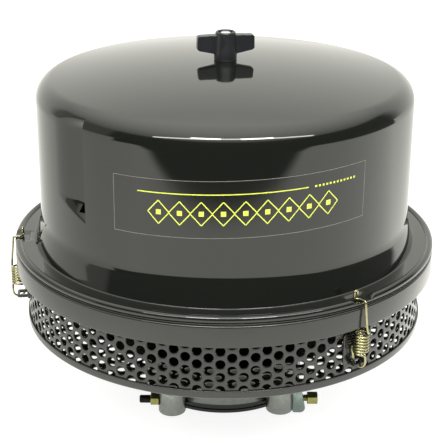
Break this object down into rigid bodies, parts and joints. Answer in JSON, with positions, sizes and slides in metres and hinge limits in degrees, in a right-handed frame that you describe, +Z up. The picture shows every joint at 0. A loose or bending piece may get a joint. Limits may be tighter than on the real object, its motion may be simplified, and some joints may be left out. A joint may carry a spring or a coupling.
{
  "type": "air pre-cleaner",
  "caption": "Round centrifugal air pre-cleaner: domed hood with a side ejection slot, perforated inlet screen, spring clips, wing knob and a clamped outlet neck.",
  "frame": {"origin": "centre of the outlet's mouth, on its lower edge", "axes": "+Z up along the hood's axis, -Y toward the front (label side), +X to the right seen from the front"},
  "size_m": [0.4131, 0.408, 0.3635],
  "materials": {
    "hood_paint": "gloss black powder coat",
    "base_paint": "gloss black powder coat",
    "screen_paint": "semi-gloss black powder coat",
    "seal_rubber": "matt black rubber",
    "knob_plastic": "satin black moulding",
    "insert_brass": "turned brass",
    "zinc_steel": "bright zinc plate",
    "cast_spider": "cast",
    "vane_plastic": "satin black moulding",
    "rotor_plastic": "satin black moulding",
    "bearing_steel": "ground steel",
    "clip_wire": "yellow zinc spring wire",
    "clamp_zinc": "clear zinc plate",
    "bolt_zinc": "yellow zinc plate"
  },
  "bodies": {
    "base": {"hood": "hood_paint", "hood_gasket": "seal_rubber", "knob_washer": "seal_rubber", "hood_stop_nut": "zinc_steel", "centre_stud": "zinc_steel", "stud_spider": "cast_spider", "outlet_tube": "base_paint", "base_pan": "base_paint", "screen": "screen_paint", "support_band": "base_paint", "vane_ring": "vane_plastic", "inner_deck": "base_paint", "spindle_collar": "zinc_steel", "rotor_lock_nut": "zinc_steel", "clip_bracket_1": "base_paint", "clip_bracket_2": "base_paint", "clip_bracket_3": "base_paint", "clamp_band_front": "clamp_zinc", "clamp_band_rear": "clamp_zinc", "clamp_barrel_left": "clamp_zinc", "clamp_barrel_right": "clamp_zinc", "clamp_bolt_left": "bolt_zinc", "clamp_bolt_right": "bolt_zinc", "clamp_nut_left": "bolt_zinc", "clamp_nut_right": "bolt_zinc"},
    "rotor": {"rotor": "rotor_plastic", "rotor_bearing_lower": "bearing_steel", "rotor_bearing_upper": "bearing_steel"},
    "knob": {"knob": "knob_plastic", "knob_insert": "insert_brass"},
    "clip_1": {"clip_1": "clip_wire"},
    "clip_2": {"clip_2": "clip_wire"},
    "clip_3": {"clip_3": "clip_wire"}
  },
  "joints": [
    {"name": "rotor_spin", "type": "hinge", "parent": "base", "child": "rotor", "pos_m": [0, 0, 0.24], "axis": [0, 0, 1], "continuous": true},
    {"name": "knob_turn", "type": "hinge", "parent": "base", "child": "knob", "pos_m": [0, 0, 0.34], "axis": [0, 0, 1], "continuous": true},
    {"name": "clip_1_swing", "type": "hinge", "parent": "base", "child": "clip_1", "pos_m": [0.12134, -0.16399, 0.101], "axis": [0.8039, 0.5948, 0], "range_deg": [0, 150]},
    {"name": "clip_2_swing", "type": "hinge", "parent": "base", "child": "clip_2", "pos_m": [0.08135, 0.18708, 0.101], "axis": [-0.9171, 0.3987, 0], "range_deg": [0, 150]},
    {"name": "clip_3_swing", "type": "hinge", "parent": "base", "child": "clip_3", "pos_m": [-0.20269, -0.02309, 0.101], "axis": [0.1132, -0.9936, 0], "range_deg": [0, 150]}
  ]
}
